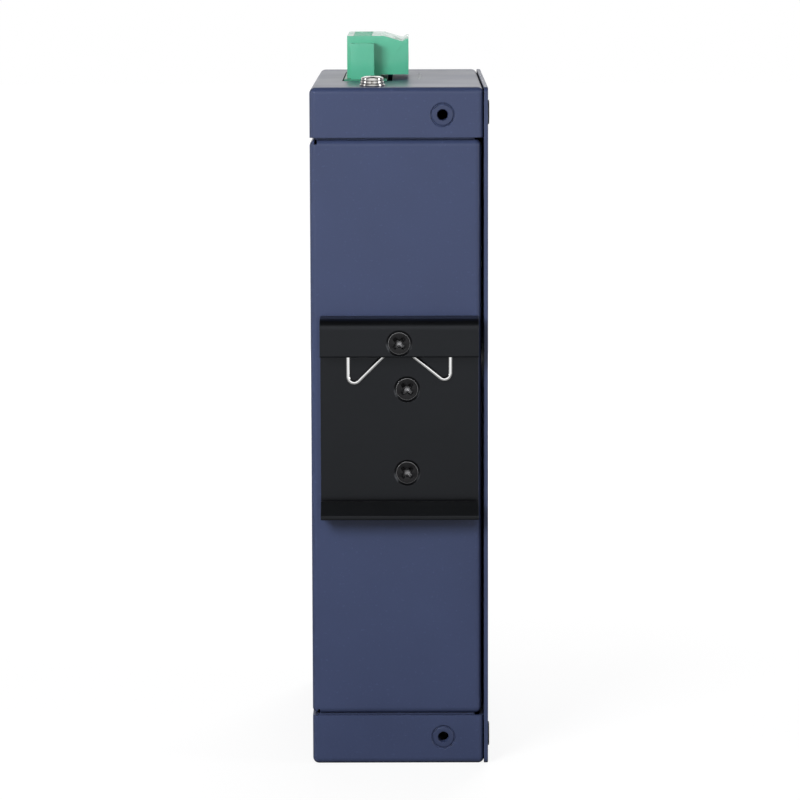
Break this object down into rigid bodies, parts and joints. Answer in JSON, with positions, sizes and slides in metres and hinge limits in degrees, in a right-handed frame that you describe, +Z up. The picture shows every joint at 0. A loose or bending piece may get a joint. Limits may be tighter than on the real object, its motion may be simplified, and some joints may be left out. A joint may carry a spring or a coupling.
{
  "type": "ethernet switch",
  "caption": "Slim upright industrial network switch in a folded sheet-metal case, with a rear rail clip, front ports and a screw plug on top.",
  "frame": {"origin": "centre of the bottom plate's underside, on the surface that the switch stands on", "axes": "+Z up through the top plate, +Y towards the rear with the rail clip, -Y towards the front with the ports, +X towards the fixed side wall"},
  "size_m": [0.0353, 0.0959, 0.1439],
  "materials": {
    "case_paint": "dark blue textured powder coat",
    "clip_anodised": "black anodised",
    "black_steel": "black oxide",
    "bright_steel": "polished spring wire",
    "zinc_steel": "bright zinc plate",
    "green_plastic": "moulded green polyamide, slightly glossy",
    "brass_metal": "plain brass",
    "tinned_copper": "tin plate",
    "gold_contact": "gold flash",
    "black_plastic": "moulded black",
    "board_laminate": "green solder mask",
    "lamp_lens": "clear diffused lens",
    "sink_aluminium": "anodised, satin",
    "can_aluminium": "bright can"
  },
  "bodies": {
    "root": {"chassis": "case_paint", "wrap": "case_paint", "side_cover": "case_paint", "cover_screws": "black_steel", "wall_mount_nuts": "case_paint", "din_clip": "clip_anodised", "clip_screws": "black_steel", "clip_nuts": "zinc_steel", "spring_screw": "black_steel", "spring_wire": "bright_steel", "plug_body": "green_plastic", "plug_clamps": "tinned_copper", "plug_clamp_screws": "zinc_steel", "plug_flange_screws": "zinc_steel", "header_body": "green_plastic", "header_bushes": "brass_metal", "header_pins": "tinned_copper", "earth_screw": "zinc_steel", "earth_spring_washer": "zinc_steel", "earth_flat_washer": "zinc_steel", "earth_nut": "zinc_steel", "main_board": "board_laminate", "board_standoffs": "zinc_steel", "board_screws": "zinc_steel", "jack_housing": "black_plastic", "jack_shield": "zinc_steel", "jack_contacts": "gold_contact", "port_lamps": "lamp_lens", "status_lamps": "lamp_lens", "switch_chip": "black_plastic", "chip_heatsink": "sink_aluminium", "magnetics_modules": "black_plastic", "crystal": "can_aluminium", "capacitors": "can_aluminium", "power_inductors": "black_plastic", "alarm_relay": "black_plastic", "regulators": "black_plastic", "memory_chip": "black_plastic"}
  },
  "joints": []
}
